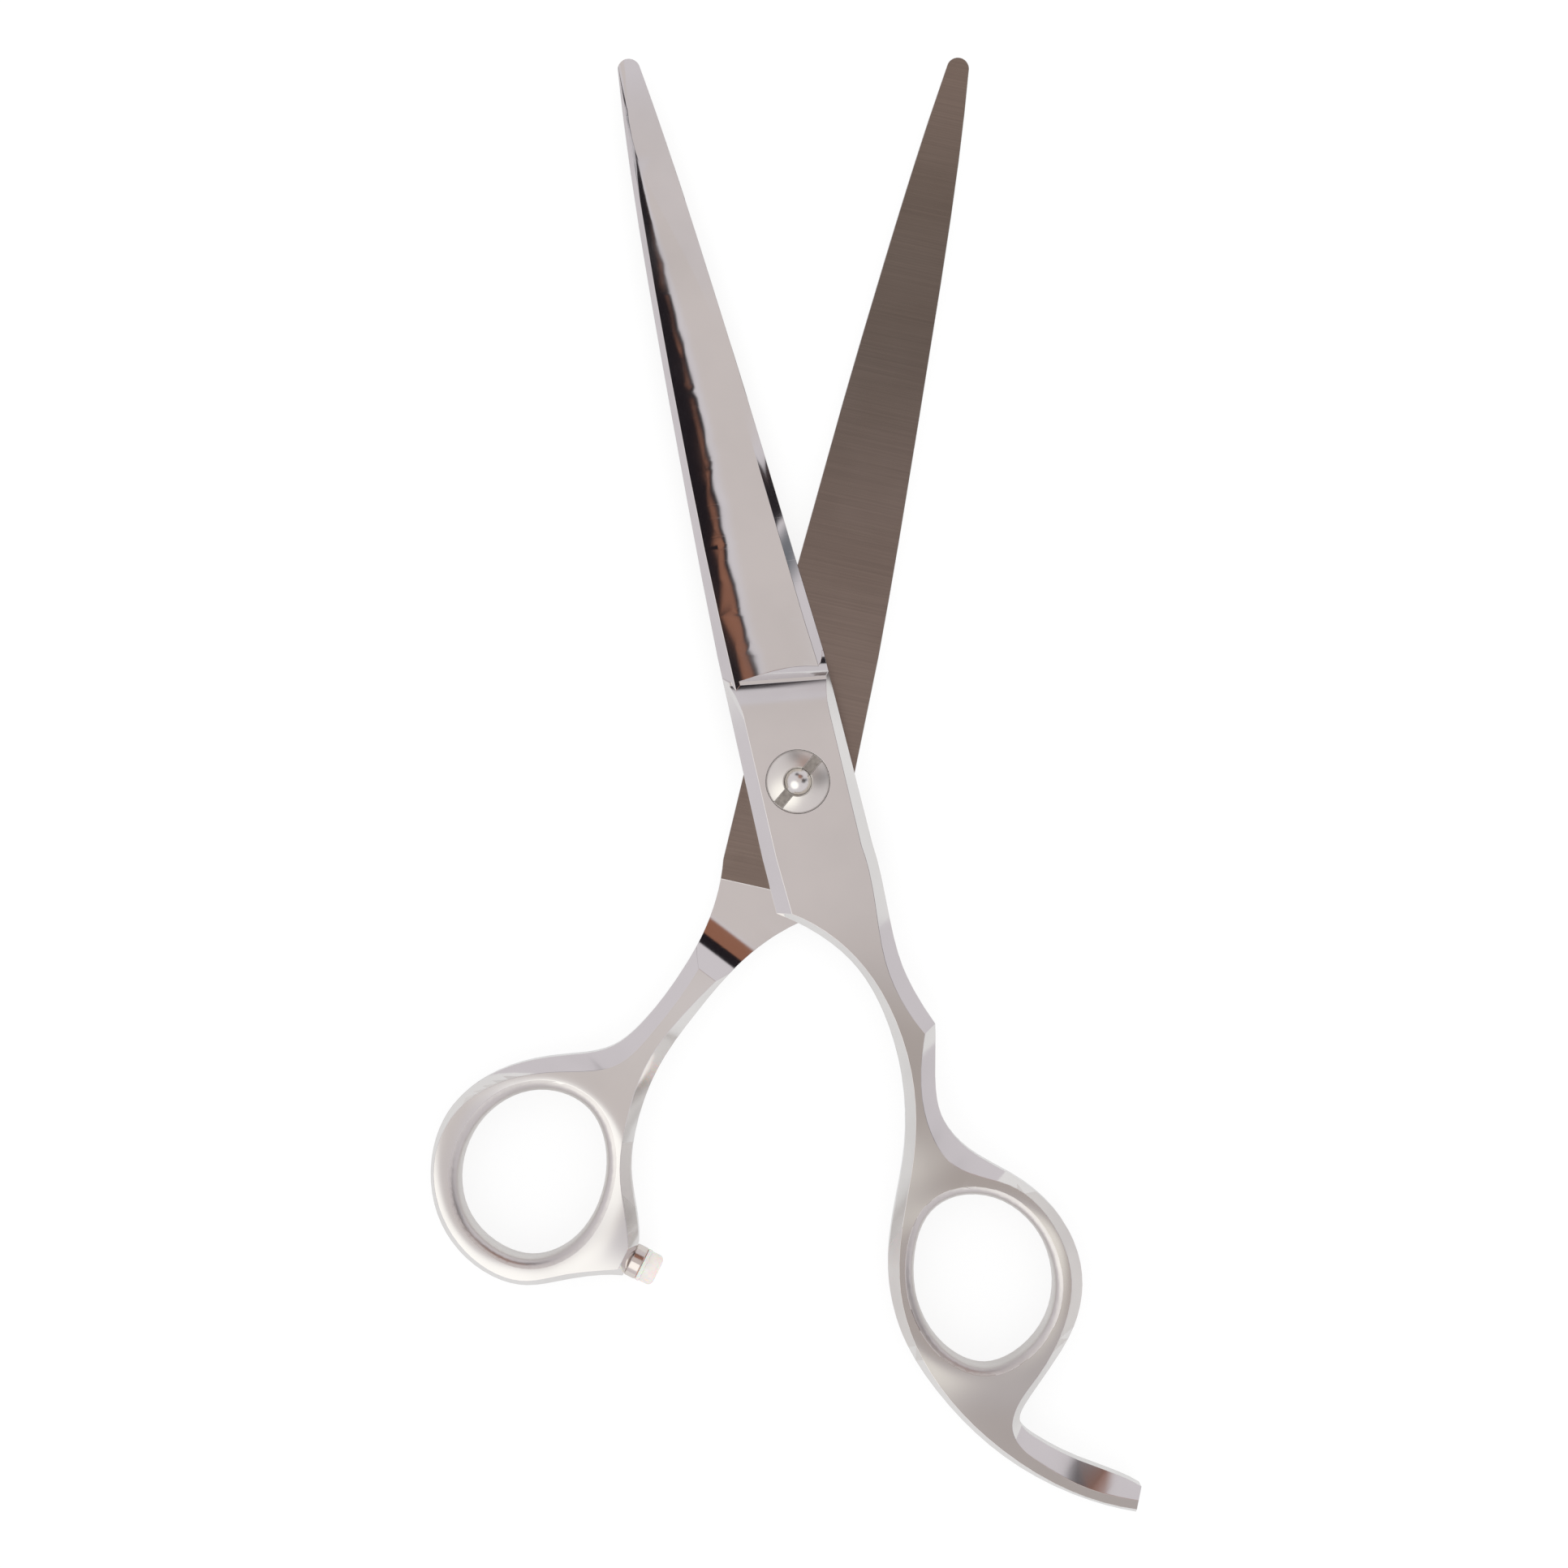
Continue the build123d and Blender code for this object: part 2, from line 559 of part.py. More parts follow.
# Metal collar with a stud into the corner of the thumb ring and a spigot for the cap
with BuildPart() as bumper_base:
    with BuildSketch(bumper_plane.offset(-bumper_stud_length)):
        Circle(bumper_stud_radius)
    extrude(amount=bumper_stud_length + bumper_collar_length + bumper_spigot_length)
    with BuildSketch(bumper_plane):
        Circle(bumper_radius)
    extrude(amount=bumper_collar_length)
    chamfer(bumper_base.edges().filter_by(lambda edge: edge.length > 6 * bumper_radius), 0.15)
bumper_base.part.label = "bumper_base"
export_step(bumper_base.part, "parts/bumper_base.step")

# Soft cap pushed over the spigot, with a thin flange against the collar
cap_plane = bumper_plane.offset(bumper_collar_length)
with BuildPart() as bumper_cap:
    with BuildSketch(cap_plane):
        Circle(bumper_radius)
    extrude(amount=bumper_cap_flange)
    with BuildSketch(cap_plane):
        Circle(bumper_radius - bumper_cap_inset)
    extrude(amount=bumper_cap_length)
    end_rim = bumper_cap.faces().sort_by(Axis(bumper_origin, bumper_direction))[-1].edges()
    fillet(end_rim, bumper_cap_round)
    with BuildSketch(cap_plane):
        Circle(bumper_stud_radius + running_clearance)
    extrude(amount=bumper_spigot_length + seat_clearance, mode=Mode.SUBTRACT)
bumper_cap.part.label = "bumper_cap"
export_step(bumper_cap.part, "parts/bumper_cap.step")
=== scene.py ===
import json
import math
import bpy
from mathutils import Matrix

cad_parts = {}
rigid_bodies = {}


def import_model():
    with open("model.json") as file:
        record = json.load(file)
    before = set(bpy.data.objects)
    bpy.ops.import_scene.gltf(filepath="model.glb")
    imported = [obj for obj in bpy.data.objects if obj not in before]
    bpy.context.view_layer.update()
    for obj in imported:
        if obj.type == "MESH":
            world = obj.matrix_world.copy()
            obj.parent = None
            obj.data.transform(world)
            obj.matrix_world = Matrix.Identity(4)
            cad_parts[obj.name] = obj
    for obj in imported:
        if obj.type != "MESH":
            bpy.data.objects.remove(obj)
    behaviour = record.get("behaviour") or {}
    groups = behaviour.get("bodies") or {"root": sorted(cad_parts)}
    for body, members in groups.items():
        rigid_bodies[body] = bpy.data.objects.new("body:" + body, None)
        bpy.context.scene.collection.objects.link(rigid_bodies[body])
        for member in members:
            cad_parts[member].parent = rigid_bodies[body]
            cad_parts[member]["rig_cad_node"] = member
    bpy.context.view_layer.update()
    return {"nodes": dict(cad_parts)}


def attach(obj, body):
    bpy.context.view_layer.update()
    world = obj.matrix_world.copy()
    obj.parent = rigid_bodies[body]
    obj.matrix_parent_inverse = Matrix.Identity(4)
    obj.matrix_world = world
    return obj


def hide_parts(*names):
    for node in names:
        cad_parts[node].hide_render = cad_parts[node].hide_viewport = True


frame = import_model()

# --- Studio ---------------------------------------------------------------------------------
# The shears lie on a plain white table. Polished steel mirrors a pale tent: a grey panel straight
# above, a bright cloth to the lower left, and dark and brown gaps to the right and the far side.

mm = 0.001
table_gap = 0.02 * mm
table_own_glow = 0.80
table_glow_in_mirrors = 0.56
room_strength = 1.12

bpy.ops.object.select_all(action="DESELECT")
bpy.ops.mesh.primitive_plane_add(size=6, location=(0, 0, -table_gap))
table_top = bpy.context.object
table_top.name = "table_top"
table_white = bpy.data.materials.new("table_white")
table_white.use_nodes = True
table_shader = table_white.node_tree.nodes["Principled BSDF"]
table_shader.inputs["Base Color"].default_value = (0.22, 0.22, 0.22, 1)
table_shader.inputs["Roughness"].default_value = 0.9
table_shader.inputs["Specular IOR Level"].default_value = 0.1
table_shader.inputs["Emission Color"].default_value = (1, 1, 1, 1)
table_nodes, table_links = table_white.node_tree.nodes, table_white.node_tree.links
table_ray = table_nodes.new("ShaderNodeLightPath")
table_glow = table_nodes.new("ShaderNodeMapRange")
table_glow.inputs["To Min"].default_value = table_own_glow
table_glow.inputs["To Max"].default_value = table_glow_in_mirrors
table_links.new(table_ray.outputs["Is Glossy Ray"], table_glow.inputs["Value"])
table_links.new(table_glow.outputs["Result"], table_shader.inputs["Emission Strength"])
table_top.data.materials.append(table_white)

world = bpy.data.worlds.new("light_tent")
bpy.context.scene.world = world
world.use_nodes = True
tent = world.node_tree
tent.nodes.clear()
direction = tent.nodes.new("ShaderNodeTexCoord")


def facing(x, y, z, low, high):
    """0 to 1 as a direction turns towards (x, y, z), between two cosines."""
    dot = tent.nodes.new("ShaderNodeVectorMath")
    dot.operation = "DOT_PRODUCT"
    tent.links.new(direction.outputs["Generated"], dot.inputs[0])
    length = math.sqrt(x * x + y * y + z * z)
    dot.inputs[1].default_value = (x / length, y / length, z / length)
    smooth = tent.nodes.new("ShaderNodeMapRange")
    smooth.interpolation_type = "SMOOTHSTEP"
    smooth.inputs["From Min"].default_value = low
    smooth.inputs["From Max"].default_value = high
    tent.links.new(dot.outputs["Value"], smooth.inputs["Value"])
    return smooth.outputs["Result"]


def layered(under, colour, mask):
    """Light of one colour laid over what is under it, where the mask says."""
    mix = tent.nodes.new("ShaderNodeMix")
    mix.data_type = "RGBA"
    tent.links.new(mask, mix.inputs["Factor"])
    if isinstance(under, tuple):
        mix.inputs["A"].default_value = under
    else:
        tent.links.new(under, mix.inputs["A"])
    mix.inputs["B"].default_value = colour
    return mix.outputs["Result"]


tent_white = (0.66, 0.63, 0.66, 1)
cloth_white = (1.25, 1.24, 1.21, 1)
panel_grey = (0.63, 0.58, 0.57, 1)
slate = (0.16, 0.17, 0.19, 1)
dark = (0.012, 0.009, 0.012, 1)
brown = (0.28, 0.125, 0.08, 1)
glow = layered(tent_white, cloth_white, facing(-0.40, -0.40, 0.82, 0.857, 0.913))
glow = layered(glow, panel_grey, facing(0.10, 0.13, 1, 0.945, 0.982))
glow = layered(glow, slate, facing(0.84, 0.19, 0.50, 0.980, 0.992))
glow = layered(glow, brown, facing(0.272, 0.583, 0.766, 0.958, 0.972))
glow = layered(glow, dark, facing(0.633, 0.112, 0.766, 0.966, 0.9724))
glow = layered(glow, dark, facing(0.461, 0.612, 0.643, 0.992, 0.996))
glow = layered(glow, dark, facing(-0.10, 0.80, 0.60, 0.975, 0.985))
glow = layered(glow, brown, facing(0.518, 0.168, 0.839, 0.9972, 0.9988))
studio_light = tent.nodes.new("ShaderNodeBackground")
tent.links.new(glow, studio_light.inputs["Color"])
room_light = tent.nodes.new("ShaderNodeBackground")
room_light.inputs["Color"].default_value = (1, 1, 1, 1)
room_light.inputs["Strength"].default_value = room_strength
ray = tent.nodes.new("ShaderNodeLightPath")
by_ray = tent.nodes.new("ShaderNodeMixShader")
tent.links.new(ray.outputs["Is Glossy Ray"], by_ray.inputs["Fac"])
tent.links.new(room_light.outputs["Background"], by_ray.inputs[1])
tent.links.new(studio_light.outputs["Background"], by_ray.inputs[2])
tent_out = tent.nodes.new("ShaderNodeOutputWorld")
tent.links.new(by_ray.outputs["Shader"], tent_out.inputs["Surface"])

bpy.context.scene.view_settings.view_transform = "Standard"

camera_height = 520 * mm
seen_level = 3.35 * mm
bpy.ops.object.camera_add(location=(-1.8 * mm, -0.3 * mm, camera_height + seen_level),
                          rotation=(0, 0, 0))
camera = bpy.context.object
camera.data.lens = 91.8
camera.data.sensor_width = 36
camera.data.clip_start = 0.01
bpy.context.scene.camera = camera

# --- Front half: blade, shank, finger ring and finger rest -----------------------------------
# One forging of hardened stainless steel, ground and mirror polished. It turns on the pivot
# bolt. Its hollow outer face, bevels and shoulder come from the grinding wheel.

finger_lean = math.radians(13.24)
crease = math.radians(5)
broken_edge = 0.045 * mm
flat_enough = math.radians(0.1)
weld_distance = 0.002 * mm


def finished_copy(node, name, edge_width):
    """A copy of a CAD node as one welded surface, its creases just broken and its curved faces
    shaded as the CAD surfaces are."""
    bpy.ops.object.select_all(action="DESELECT")
    original = frame["nodes"][node]
    original.select_set(True)
    bpy.context.view_layer.objects.active = original
    bpy.ops.object.duplicate()
    piece = bpy.context.object
    piece.name = name
    piece.data.name = name
    del piece["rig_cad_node"]
    piece.data.materials.clear()
    bpy.ops.object.mode_set(mode="EDIT")
    bpy.ops.mesh.select_mode(type="EDGE")
    bpy.ops.mesh.select_all(action="DESELECT")
    bpy.ops.mesh.select_non_manifold()
    bpy.ops.mesh.mark_sharp()
    bpy.ops.mesh.select_all(action="SELECT")
    bpy.ops.mesh.remove_doubles(threshold=weld_distance)
    bpy.ops.mesh.customdata_custom_splitnormals_clear()
    bpy.ops.mesh.dissolve_limited(angle_limit=flat_enough, delimit={"SHARP"})
    bpy.ops.mesh.select_all(action="DESELECT")
    bpy.ops.object.mode_set(mode="OBJECT")
    sides = {}
    for polygon in piece.data.polygons:
        for key in polygon.edge_keys:
            sides.setdefault(key, []).append(polygon.normal.copy())
    for edge in piece.data.edges:
        if edge.use_edge_sharp and len(sides[edge.key]) == 2:
            edge.select = sides[edge.key][0].angle(sides[edge.key][1], 0) > crease
    bpy.ops.object.mode_set(mode="EDIT")
    bpy.ops.mesh.bevel(offset=edge_width, segments=1, affect="EDGES", clamp_overlap=False)
    bpy.ops.mesh.select_all(action="SELECT")
    bpy.ops.mesh.mark_sharp(clear=True)
    bpy.ops.object.mode_set(mode="OBJECT")
    bpy.ops.object.shade_smooth()
    shading = piece.modifiers.new("cad_shading", "DATA_TRANSFER")
    shading.object = original
    shading.use_loop_data = True
    shading.data_types_loops = {"CUSTOM_NORMAL"}
    shading.loop_mapping = "POLYINTERP_NEAREST"
    bpy.ops.object.modifier_apply(modifier=shading.name)
    return piece


def marks_group():
    """Fine marks that handling leaves on polished metal: soft smudges and hairline scratches."""
    group = bpy.data.node_groups.new("handling_marks", "ShaderNodeTree")
    face = group.interface
    face.new_socket("Vector", in_out="INPUT", socket_type="NodeSocketVector")
    face.new_socket("Smudge Size", in_out="INPUT", socket_type="NodeSocketFloat")
    face.new_socket("Scratch Size", in_out="INPUT", socket_type="NodeSocketFloat")
    face.new_socket("Smudge", in_out="OUTPUT", socket_type="NodeSocketFloat")
    face.new_socket("Scratch", in_out="OUTPUT", socket_type="NodeSocketFloat")
    nodes, links = group.nodes, group.links
    start = nodes.new("NodeGroupInput")
    end = nodes.new("NodeGroupOutput")
    smudge = nodes.new("ShaderNodeTexNoise")
    smudge.inputs["Detail"].default_value = 3
    links.new(start.outputs["Vector"], smudge.inputs["Vector"])
    links.new(start.outputs["Smudge Size"], smudge.inputs["Scale"])
    soft = nodes.new("ShaderNodeMapRange")
    soft.inputs["From Min"].default_value = 0.42
    soft.inputs["From Max"].default_value = 0.72
    links.new(smudge.outputs["Fac"], soft.inputs["Value"])
    links.new(soft.outputs["Result"], end.inputs["Smudge"])
    stretch = nodes.new("ShaderNodeMapping")
    stretch.inputs["Rotation"].default_value = (0, 0, 0.4)
    stretch.inputs["Scale"].default_value = (1, 26, 1)
    links.new(start.outputs["Vector"], stretch.inputs["Vector"])
    hair = nodes.new("ShaderNodeTexNoise")
    hair.inputs["Detail"].default_value = 2
    links.new(stretch.outputs["Vector"], hair.inputs["Vector"])
    links.new(start.outputs["Scratch Size"], hair.inputs["Scale"])
    thin = nodes.new("ShaderNodeMapRange")
    thin.inputs["From Min"].default_value = 0.66
    thin.inputs["From Max"].default_value = 0.74
    links.new(hair.outputs["Fac"], thin.inputs["Value"])
    links.new(thin.outputs["Result"], end.inputs["Scratch"])
    return group


handling_marks = marks_group()


def polished_metal(name, colour, roughness, lean=0.0):
    """Polished metal whose shine is a little uneven, with hairline scratches along the piece."""
    duller, darker = 1.7, 0.93
    material = bpy.data.materials.new(name)
    material.use_nodes = True
    nodes, links = material.node_tree.nodes, material.node_tree.links
    shader = nodes["Principled BSDF"]
    shader.inputs["Metallic"].default_value = 1
    place = nodes.new("ShaderNodeTexCoord")
    turn = nodes.new("ShaderNodeMapping")
    turn.inputs["Rotation"].default_value = (0, 0, -lean)
    links.new(place.outputs["Object"], turn.inputs["Vector"])
    marks = nodes.new("ShaderNodeGroup")
    marks.node_tree = handling_marks
    marks.inputs["Smudge Size"].default_value = 70
    marks.inputs["Scratch Size"].default_value = 160
    links.new(turn.outputs["Vector"], marks.inputs["Vector"])
    gloss = nodes.new("ShaderNodeMapRange")
    gloss.inputs["To Min"].default_value = roughness
    gloss.inputs["To Max"].default_value = roughness * duller
    links.new(marks.outputs["Smudge"], gloss.inputs["Value"])
    links.new(gloss.outputs["Result"], shader.inputs["Roughness"])
    tint = nodes.new("ShaderNodeMix")
    tint.data_type = "RGBA"
    tint.inputs["A"].default_value = (*colour, 1)
    tint.inputs["B"].default_value = (*(darker * c for c in colour), 1)
    links.new(marks.outputs["Smudge"], tint.inputs["Factor"])
    links.new(tint.outputs["Result"], shader.inputs["Base Color"])
    bump = nodes.new("ShaderNodeBump")
    bump.invert = True
    bump.inputs["Strength"].default_value = 0.15
    bump.inputs["Distance"].default_value = 0.004 * mm
    links.new(marks.outputs["Scratch"], bump.inputs["Height"])
    links.new(bump.outputs["Normal"], shader.inputs["Normal"])
    return material


def ground_metal(name, colour, lean):
    """The flat inner face of a blade: fine-ground across, darker and softer than the polish, and
    darkest half-way along."""
    material = polished_metal(name, colour, 0.24, lean)
    nodes, links = material.node_tree.nodes, material.node_tree.links
    shader = nodes["Principled BSDF"]
    turn = nodes["Mapping"]
    grain = nodes.new("ShaderNodeMapping")
    grain.inputs["Scale"].default_value = (50, 4200, 50)
    links.new(turn.outputs["Vector"], grain.inputs["Vector"])
    lines = nodes.new("ShaderNodeTexNoise")
    lines.inputs["Scale"].default_value = 1
    lines.inputs["Detail"].default_value = 4
    links.new(grain.outputs["Vector"], lines.inputs["Vector"])
    shade = nodes.new("ShaderNodeMix")
    shade.data_type = "RGBA"
    shade.inputs["A"].default_value = (*(0.80 * c for c in colour), 1)
    shade.inputs["B"].default_value = (*(1.18 * c for c in colour), 1)
    links.new(lines.outputs["Fac"], shade.inputs["Factor"])
    # The colour is multiplied darker along the blade: darkest a little past half-way, lightest at
    # the tip.
    along = nodes.new("ShaderNodeSeparateXYZ")
    links.new(nodes["Texture Coordinate"].outputs["Object"], along.inputs["Vector"])
    reach = nodes.new("ShaderNodeMapRange")
    reach.inputs["From Min"].default_value = 10 * mm
    reach.inputs["From Max"].default_value = 92 * mm
    links.new(along.outputs["Y"], reach.inputs["Value"])
    tone_along_blade = nodes.new("ShaderNodeValToRGB")
    tone_along_blade.color_ramp.elements[0].color = (0.95, 0.95, 0.97, 1)
    tone_along_blade.color_ramp.elements[1].color = (1, 1, 1, 1)
    for place, tone in ((0.28, (0.86, 0.87, 0.90, 1)), (0.55, (0.69, 0.72, 0.74, 1)),
                        (0.80, (0.74, 0.76, 0.76, 1))):
        tone_along_blade.color_ramp.elements.new(place).color = tone
    links.new(reach.outputs["Result"], tone_along_blade.inputs["Fac"])
    midway_darkening = nodes.new("ShaderNodeMix")
    midway_darkening.data_type = "RGBA"
    midway_darkening.blend_type = "MULTIPLY"
    midway_darkening.inputs["Factor"].default_value = 1
    links.new(shade.outputs["Result"], midway_darkening.inputs["A"])
    links.new(tone_along_blade.outputs["Color"], midway_darkening.inputs["B"])
    links.new(midway_darkening.outputs["Result"], shader.inputs["Base Color"])
    bump = nodes["Bump"]
    bump.inputs["Strength"].default_value = 0.5
    links.new(lines.outputs["Fac"], bump.inputs["Height"])
    return material


def dress_handle(material, ring_x, ring_y, ring_radius, painted_shade_grey):
    """Hand-polishing of a handle: its steel gets softer below the ricasso, where its colour is
    also painted greyer as painted shade, and its faces are slightly crowned round the ring."""
    satin_begins, satin_complete = -14 * mm, -34 * mm
    satin_roughness = 0.17
    crown_radius, deepest_fall = 11 * mm, mm / 1.8
    unevenness = 1.1 * mm
    nodes, links = material.node_tree.nodes, material.node_tree.links
    shader = nodes["Principled BSDF"]
    place = nodes["Texture Coordinate"].outputs["Object"]
    apart = nodes.new("ShaderNodeSeparateXYZ")
    links.new(place, apart.inputs["Vector"])
    below = nodes.new("ShaderNodeMapRange")
    below.interpolation_type = "SMOOTHSTEP"
    below.inputs["From Min"].default_value = satin_begins
    below.inputs["From Max"].default_value = satin_complete
    links.new(apart.outputs["Y"], below.inputs["Value"])
    satin = nodes.new("ShaderNodeMix")
    links.new(below.outputs["Result"], satin.inputs["Factor"])
    links.new(shader.inputs["Roughness"].links[0].from_socket, satin.inputs["A"])
    satin.inputs["B"].default_value = satin_roughness
    links.new(satin.outputs["Result"], shader.inputs["Roughness"])
    # Painted shade: below the ricasso the colour is multiplied by a grey, much darker on the front
    # handle than on the back.
    handle_painted_shade = nodes.new("ShaderNodeMix")
    handle_painted_shade.data_type = "RGBA"
    handle_painted_shade.blend_type = "MULTIPLY"
    handle_painted_shade.inputs["B"].default_value = (*painted_shade_grey, 1)
    links.new(below.outputs["Result"], handle_painted_shade.inputs["Factor"])
    links.new(shader.inputs["Base Color"].links[0].from_socket, handle_painted_shade.inputs["A"])
    links.new(handle_painted_shade.outputs["Result"], shader.inputs["Base Color"])
    flat_place = nodes.new("ShaderNodeVectorMath")
    flat_place.operation = "MULTIPLY"
    flat_place.inputs[1].default_value = (1, 1, 0)
    links.new(place, flat_place.inputs[0])
    away = nodes.new("ShaderNodeVectorMath")
    away.operation = "DISTANCE"
    away.inputs[1].default_value = (ring_x * mm, ring_y * mm, 0)
    links.new(flat_place.outputs["Vector"], away.inputs[0])
    off_crest = nodes.new("ShaderNodeMath")
    off_crest.operation = "SUBTRACT"
    off_crest.inputs[1].default_value = ring_radius * mm
    links.new(away.outputs["Value"], off_crest.inputs[0])
    squared = nodes.new("ShaderNodeMath")
    squared.operation = "MULTIPLY"
    links.new(off_crest.outputs["Value"], squared.inputs[0])
    links.new(off_crest.outputs["Value"], squared.inputs[1])
    fading = nodes.new("ShaderNodeMath")
    fading.operation = "MULTIPLY_ADD"
    fading.inputs[1].default_value = -1 / deepest_fall
    fading.inputs[2].default_value = -2 * crown_radius
    links.new(squared.outputs["Value"], fading.inputs[0])
    crown = nodes.new("ShaderNodeMath")
    crown.operation = "DIVIDE"
    links.new(squared.outputs["Value"], crown.inputs[0])
    links.new(fading.outputs["Value"], crown.inputs[1])
    wave = nodes.new("ShaderNodeTexNoise")
    wave.inputs["Scale"].default_value = 55
    wave.inputs["Detail"].default_value = 0
    links.new(flat_place.outputs["Vector"], wave.inputs["Vector"])
    uneven = nodes.new("ShaderNodeMath")
    uneven.operation = "MULTIPLY_ADD"
    uneven.inputs[1].default_value = unevenness
    links.new(wave.outputs["Fac"], uneven.inputs[0])
    links.new(crown.outputs["Value"], uneven.inputs[2])
    shaped = nodes.new("ShaderNodeMath")
    shaped.operation = "MULTIPLY"
    links.new(uneven.outputs["Value"], shaped.inputs[0])
    links.new(below.outputs["Result"], shaped.inputs[1])
    dressed = nodes.new("ShaderNodeBump")
    dressed.inputs["Strength"].default_value = 1
    dressed.inputs["Distance"].default_value = 1
    links.new(shaped.outputs["Value"], dressed.inputs["Height"])
    links.new(dressed.outputs["Normal"], nodes["Bump"].inputs["Normal"])
    return material


def face_the_handle(piece, material, mouth_material, ring_x, ring_y):
    """Gives the flat upper face below the shoulder its own finish, and the hole's wall another."""
    below_shoulder, mouth_reach = 6 * mm, 12.9 * mm
    piece.data.materials.append(material)
    piece.data.materials.append(mouth_material)
    for polygon in piece.data.polygons:
        middle = polygon.center
        flat = polygon.normal.z > 0.995
        from_ring = math.hypot(middle.x - ring_x * mm, middle.y - ring_y * mm)
        if flat and middle.y < below_shoulder and polygon.material_index == 0:
            polygon.material_index = 2
        elif not flat and from_ring < mouth_reach:
            polygon.material_index = 3


def face_the_inside(piece, level, outward, material):
    """Gives the flat inner face of a half its own finish."""
    relief = 0.35 * mm
    piece.data.materials.append(material)
    for polygon in piece.data.polygons:
        flat = polygon.normal.z * outward < -0.999
        if flat and abs(polygon.center.z - level) < relief:
            polygon.material_index = 1


steel, polish = (0.86, 0.84, 0.83), 0.07
inner_steel = (0.27, 0.21, 0.175)
mouth_steel, mouth_dullness = (0.78, 0.75, 0.73), 0.30
finger_ring = (24.0, -64.5)
finger_half = finished_copy("finger_blade", "front_half", broken_edge)
finger_half.data.materials.append(
    polished_metal("front_steel", steel, polish, finger_lean))
face_the_inside(finger_half, 3.4 * mm, 1,
                ground_metal("front_inner_steel", inner_steel, finger_lean))
# The front handle's colour is painted clearly greyer below the ricasso, as painted shade.
face_the_handle(finger_half, dress_handle(
    polished_metal("front_handle_steel", steel, polish, finger_lean),
    *finger_ring, 11.6, (0.70, 0.68, 0.65)),
    polished_metal("front_mouth_steel", mouth_steel, mouth_dullness), *finger_ring)
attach(finger_half, "finger_half")
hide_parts("finger_blade")

# --- Back half: blade, shank and thumb ring ---------------------------------------------------
# The same steel and polish. The side that faces up here is the flat inner face, ground but not
# polished, with the concave ramp where the shank thickens.

thumb_lean = math.radians(-12.54)
thumb_ring = (-34.2, -50.7)
thumb_half = finished_copy("thumb_blade", "back_half", broken_edge)
thumb_half.data.materials.append(
    polished_metal("back_steel", steel, polish, thumb_lean))
face_the_inside(thumb_half, 3.3 * mm, -1,
                ground_metal("back_inner_steel", inner_steel, thumb_lean))
# The back handle's colour is painted only a little greyer below the ricasso, as painted shade.
face_the_handle(thumb_half, dress_handle(
    polished_metal("back_handle_steel", steel, polish, thumb_lean),
    *thumb_ring, 12.4, (0.96, 0.96, 0.95)),
    polished_metal("back_mouth_steel", mouth_steel, mouth_dullness), *thumb_ring)
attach(thumb_half, "thumb_half")
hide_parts("thumb_blade")

# --- Pivot ------------------------------------------------------------------------------------
# A turned bolt from the back, with a nylon sleeve and washer, a dished spring washer and a domed
# nut. The nut and the bolt's end are bright nickel over fine turning marks.


def turned_metal(name, colour, roughness, rings):
    """Turned and plated metal, with fine rings round the Z axis."""
    material = polished_metal(name, colour, roughness)
    nodes, links = material.node_tree.nodes, material.node_tree.links
    wave = nodes.new("ShaderNodeTexWave")
    wave.wave_type = "RINGS"
    wave.rings_direction = "Z"
    wave.inputs["Scale"].default_value = rings
    wave.inputs["Distortion"].default_value = 0.6
    links.new(nodes["Texture Coordinate"].outputs["Object"], wave.inputs["Vector"])
    bump = nodes["Bump"]
    bump.inputs["Strength"].default_value = 0.25
    links.new(wave.outputs["Fac"], bump.inputs["Height"])
    return material


def mottled(name, low, high, fineness, roughness):
    """A material whose colour is a little cloudy, between two tones."""
    material = bpy.data.materials.new(name)
    material.use_nodes = True
    nodes, links = material.node_tree.nodes, material.node_tree.links
    shader = nodes["Principled BSDF"]
    shader.inputs["Roughness"].default_value = roughness
    place = nodes.new("ShaderNodeTexCoord")
    cloud = nodes.new("ShaderNodeTexNoise")
    cloud.inputs["Scale"].default_value = fineness
    links.new(place.outputs["Object"], cloud.inputs["Vector"])
    tone = nodes.new("ShaderNodeMix")
    tone.data_type = "RGBA"
    tone.inputs["A"].default_value = (*low, 1)
    tone.inputs["B"].default_value = (*high, 1)
    links.new(cloud.outputs["Fac"], tone.inputs["Factor"])
    links.new(tone.outputs["Result"], shader.inputs["Base Color"])
    return material


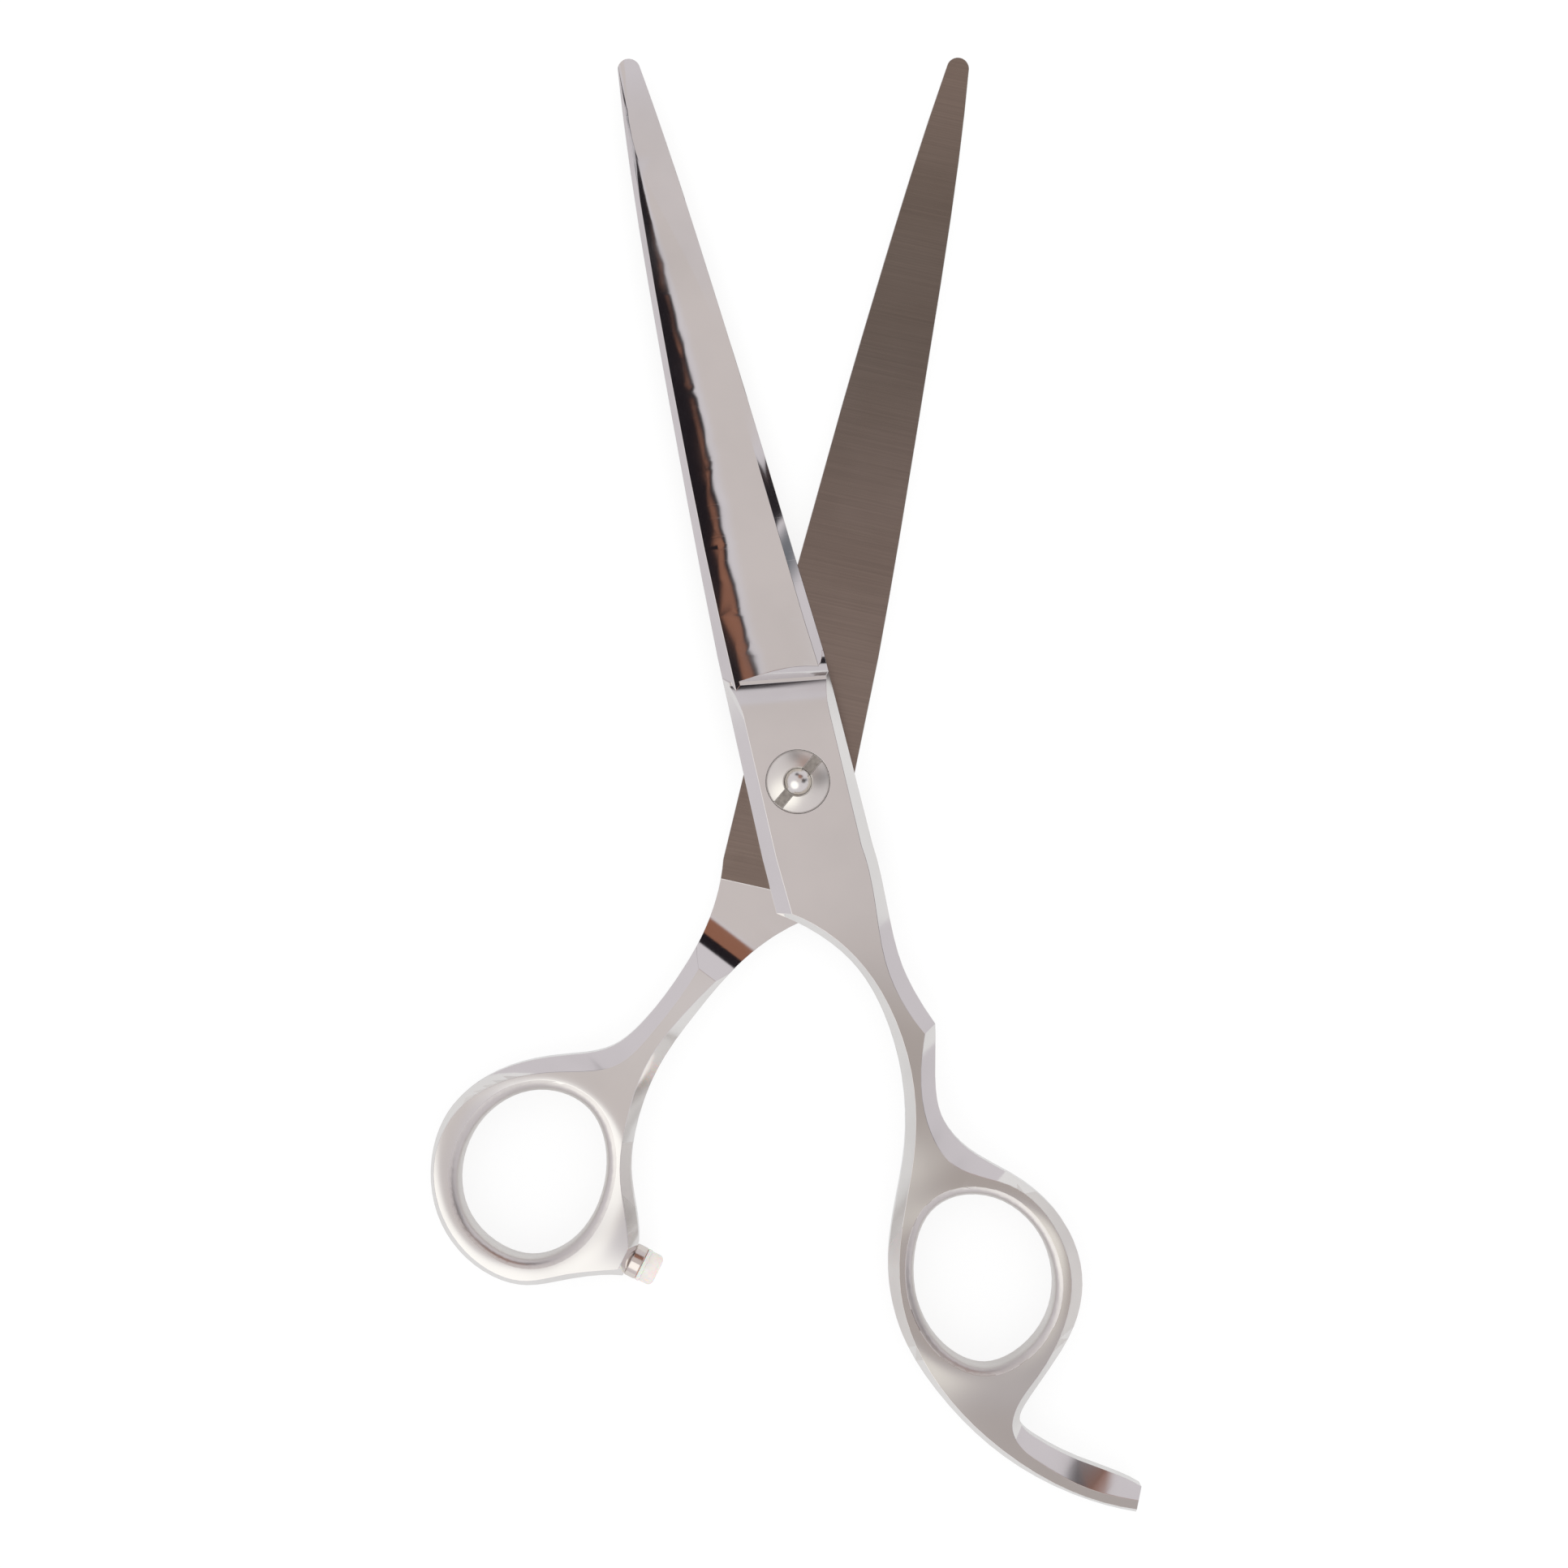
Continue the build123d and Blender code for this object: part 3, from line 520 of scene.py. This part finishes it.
nut = finished_copy("tension_nut", "domed_nut", 0.06 * mm)
nut.data.materials.append(turned_metal("nut_nickel", (0.88, 0.85, 0.80), 0.30, 900))
# The slot floors get a dark mottled metal: painted shade at the bottom of the nut's slots.
slot_floor_painted_shade = mottled("slot_floor_painted_shade", (0.22, 0.20, 0.18), (0.50, 0.47, 0.43), 2500, 0.4)
slot_floor_painted_shade.node_tree.nodes["Principled BSDF"].inputs["Metallic"].default_value = 1
nut.data.materials.append(slot_floor_painted_shade)
# Upward faces below the nut's top are the slot floors, and they take the painted shade.
slot_level = max(vertex.co.z for vertex in nut.data.vertices) - 0.3 * mm
for polygon in nut.data.polygons:
    if polygon.normal.z > 0.99 and polygon.center.z < slot_level:
        polygon.material_index = 1
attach(nut, "nut")
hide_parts("tension_nut")

bolt = finished_copy("pivot_bolt", "bolt", 0.04 * mm)
bolt.data.materials.append(turned_metal("bolt_nickel", (0.90, 0.88, 0.85), 0.20, 700))
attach(bolt, "thumb_half")
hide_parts("pivot_bolt")

nylon = mottled("nylon", (0.74, 0.72, 0.66), (0.84, 0.82, 0.77), 600, 0.45)
spring_steel = turned_metal("spring_steel", (0.55, 0.53, 0.50), 0.25, 500)
for node, finish in (("pivot_sleeve", nylon), ("bearing_washer", nylon),
                     ("spring_washer", spring_steel)):
    frame["nodes"][node].data.materials.clear()
    frame["nodes"][node].data.materials.append(finish)

# --- Bumper -----------------------------------------------------------------------------------
# A turned collar pressed into the corner of the thumb ring, with a milky plastic cap that meets
# the other handle when the shears close.

collar = finished_copy("bumper_base", "bumper_collar", 0.05 * mm)
collar.data.materials.append(polished_metal("collar_nickel", (0.80, 0.74, 0.70), 0.18))
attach(collar, "thumb_half")
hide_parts("bumper_base")

cap = finished_copy("bumper_cap", "bumper_tip", 0.05 * mm)
milky = mottled("milky_plastic", (0.70, 0.64, 0.60), (0.88, 0.84, 0.82), 450, 0.22)
milky_shader = milky.node_tree.nodes["Principled BSDF"]
milky_shader.inputs["Subsurface Weight"].default_value = 0.6
milky_shader.inputs["Subsurface Scale"].default_value = 1.2 * mm
cap.data.materials.append(milky)
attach(cap, "thumb_half")
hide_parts("bumper_cap")
